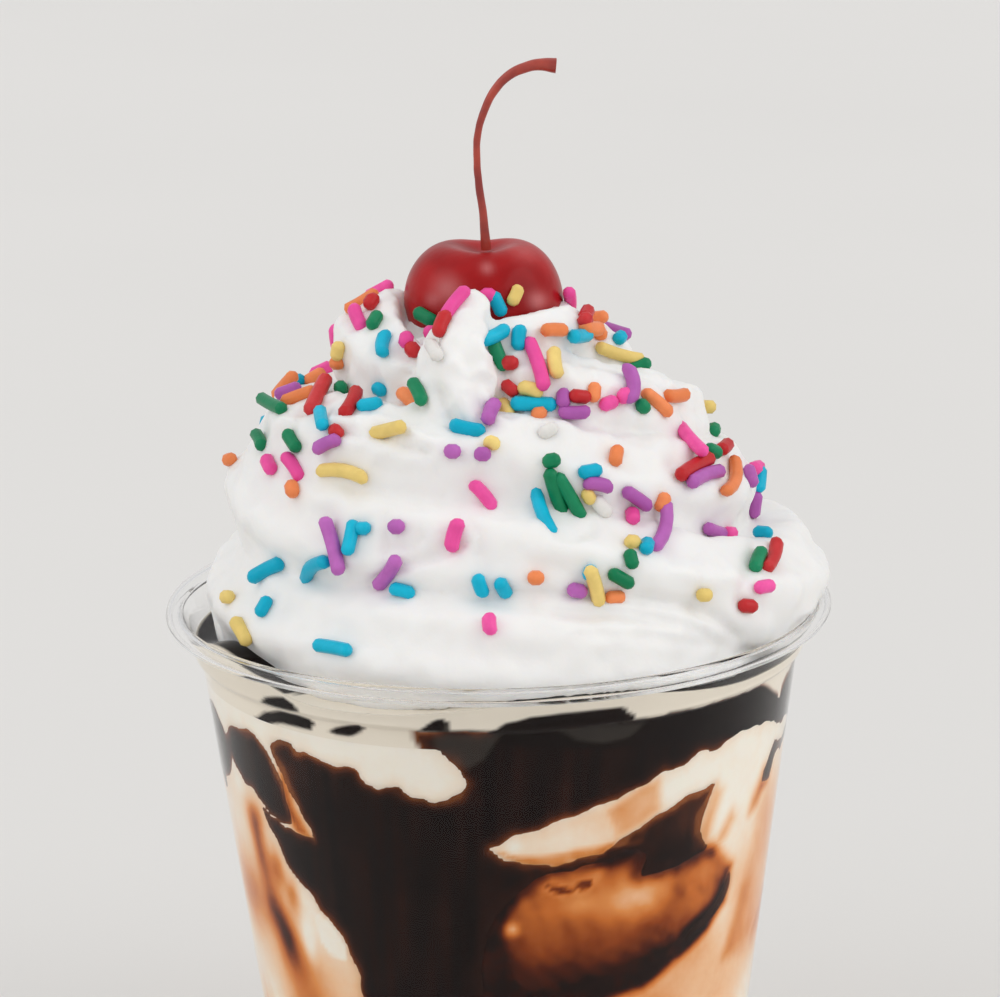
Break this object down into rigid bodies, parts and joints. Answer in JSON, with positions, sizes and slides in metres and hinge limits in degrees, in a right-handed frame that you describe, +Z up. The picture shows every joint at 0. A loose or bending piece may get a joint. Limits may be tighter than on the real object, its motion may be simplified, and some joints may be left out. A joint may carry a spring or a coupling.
{
  "type": "ice cream sundae",
  "caption": "Ice cream sundae in a clear plastic cup, streaked with chocolate syrup and topped with piped whipped cream, sprinkles and a cherry on its stem.",
  "frame": {"origin": "centre of the cup's foot, on the plane that it stands on", "axes": "+Z up along the cup's axis, -Y towards the shown front, +X to the right seen from the front"},
  "size_m": [0.092, 0.092, 0.1581],
  "materials": {
    "clear_plastic": "clear, thin and glossy",
    "ice_cream": "soft vanilla ice cream, pale cream, slightly wet where it meets the cup",
    "chocolate_syrup": "dark, wet and glossy, thinning to caramel brown at its edges",
    "whipped_cream": "soft white piped cream, satin",
    "sprinkles": "sugar strands in cyan, pink, purple, green, orange, yellow, red and white, satin",
    "cherry": "deep red, wet and glossy",
    "cherry_stem": "reddish brown, satin"
  },
  "bodies": {
    "root": {"cup": "clear_plastic", "ice_cream": "ice_cream", "chocolate_syrup": "chocolate_syrup", "whipped_cream": "whipped_cream", "cherry": "cherry", "cherry_stem": "cherry_stem"}
  },
  "joints": []
}
